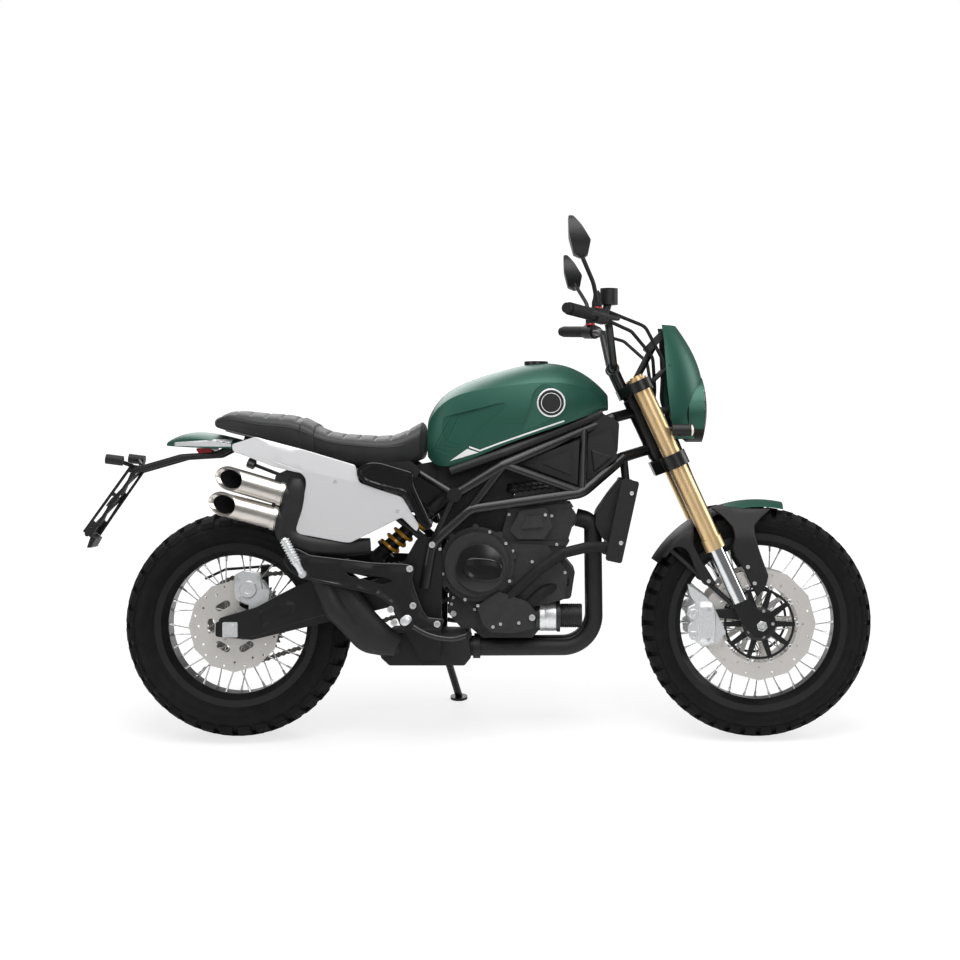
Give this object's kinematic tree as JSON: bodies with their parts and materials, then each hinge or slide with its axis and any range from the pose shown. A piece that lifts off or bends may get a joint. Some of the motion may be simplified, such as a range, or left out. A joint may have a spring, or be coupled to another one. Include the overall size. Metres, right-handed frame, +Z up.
{
  "type": "scrambler motorcycle",
  "caption": "Scrambler motorcycle with wire wheels, trellis frame, twin-cylinder engine and high twin silencer, parked on its side stand.",
  "frame": {"origin": "middle of the machine's box, on the ground that it stands on", "axes": "+X towards the front wheel, +Y to the rider's left, +Z up"},
  "size_m": [2.244, 0.9346, 1.4833],
  "materials": {
    "black_paint": "satin black paint",
    "engine_black": "matt black coating",
    "exhaust_black": "matt heat-proof black",
    "brushed_tip": "brushed",
    "bright_alloy": "satin",
    "spring_gold": "gloss",
    "chain_steel": "oiled",
    "black_plastic": "fine grain",
    "black_rubber": "matt",
    "green_paint": "satin metallic",
    "saddle_leather": "grained",
    "silver_paint": "satin metallic",
    "red_lens": "gloss",
    "fork_gold": "anodized satin",
    "chrome": "polished",
    "clear_lens": "clear",
    "tyre": "matt",
    "spoke_steel": "bright",
    "disc_steel": "ground"
  },
  "bodies": {
    "chassis": {"frame": "black_paint", "engine": "engine_black", "engine_covers": "engine_black", "exhaust": "exhaust_black", "silencer": "exhaust_black", "silencer_tips": "brushed_tip", "swingarm": "black_paint", "rear_axle": "bright_alloy", "shock": "black_paint", "shock_spring": "spring_gold", "chain": "chain_steel", "drive_sprocket": "chain_steel", "radiator": "black_plastic", "coolant_hoses": "black_rubber", "fuel_tank": "green_paint", "fuel_cap": "black_paint", "tank_trim": "black_plastic", "saddle": "saddle_leather", "side_covers": "black_plastic", "side_plates": "silver_paint", "tail_cowl": "green_paint", "tail_lamp": "red_lens", "plate_hanger": "black_plastic", "footrest_plates": "black_paint", "foot_controls": "bright_alloy", "rear_caliper": "bright_alloy"},
    "steering": {"yokes": "black_paint", "fork_tubes": "fork_gold", "fork_sliders": "chrome", "fork_feet": "black_paint", "front_axle": "bright_alloy", "front_calipers": "bright_alloy", "front_fender": "black_plastic", "fender_blade": "green_paint", "handlebar": "black_paint", "grips": "black_rubber", "hand_controls": "black_plastic", "mirrors": "black_plastic", "headlamp": "black_plastic", "headlamp_lens": "clear_lens", "headlamp_cowl": "green_paint", "instrument": "black_plastic", "control_cables": "black_rubber"},
    "front_wheel": {"front_tyre": "tyre", "front_rim": "black_paint", "front_hub": "black_paint", "front_spokes": "spoke_steel", "front_discs": "disc_steel"},
    "rear_wheel": {"rear_tyre": "tyre", "rear_rim": "black_paint", "rear_hub": "black_paint", "rear_spokes": "spoke_steel", "rear_disc": "disc_steel", "rear_sprocket": "chain_steel"},
    "side_stand": {"side_stand": "black_paint"}
  },
  "joints": [
    {"name": "steering_turn", "type": "hinge", "parent": "chassis", "child": "steering", "pos_m": [0.51565, -0.09358, 0.79253], "axis": [-0.421, 0.1576, 0.8933], "range_deg": [-34, 34]},
    {"name": "front_wheel_spin", "type": "hinge", "parent": "steering", "child": "front_wheel", "pos_m": [0.794, -0.17606, 0.32478], "axis": [0, 0.9848, -0.1737], "continuous": true},
    {"name": "rear_wheel_spin", "type": "hinge", "parent": "chassis", "child": "rear_wheel", "pos_m": [-0.686, -0.1771, 0.31885], "axis": [0, 0.9848, -0.1737], "continuous": true},
    {"name": "side_stand_fold", "type": "hinge", "parent": "chassis", "child": "side_stand", "pos_m": [-0.126, -0.01133, 0.24543], "axis": [0.2222, 0.8783, 0.4233], "range_deg": [0, 104.2]}
  ]
}
